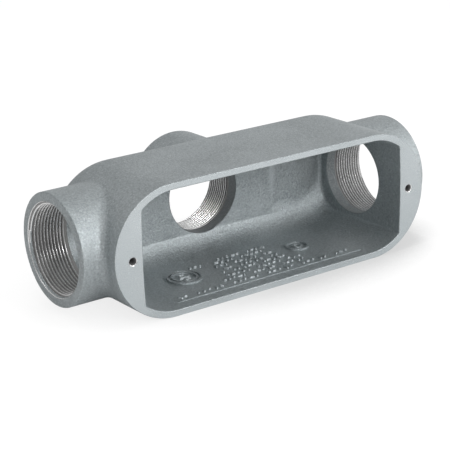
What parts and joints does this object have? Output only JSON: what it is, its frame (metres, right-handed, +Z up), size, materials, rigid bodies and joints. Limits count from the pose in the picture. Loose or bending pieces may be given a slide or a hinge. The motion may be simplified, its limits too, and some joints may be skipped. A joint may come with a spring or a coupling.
{
  "type": "conduit body",
  "caption": "Straight-run metal conduit body with an open, gasket-faced access side, a threaded hub at each end and a threaded branch hub in its back; the screwed cover is left off.",
  "frame": {"origin": "in the plane of the cover seat, midway between the two cover screw holes", "axes": "+X along the run from one end hub to the other, +Y into the body towards the branch hub in the back, +Z up as it rests on its lower long side"},
  "size_m": [0.2704, 0.1162, 0.0844],
  "materials": {
    "lacquered_casting": "silver-grey lacquer over a fine sand-cast skin, bare metal in the threads"
  },
  "bodies": {
    "root": {"conduit_body": "lacquered_casting"}
  },
  "joints": []
}
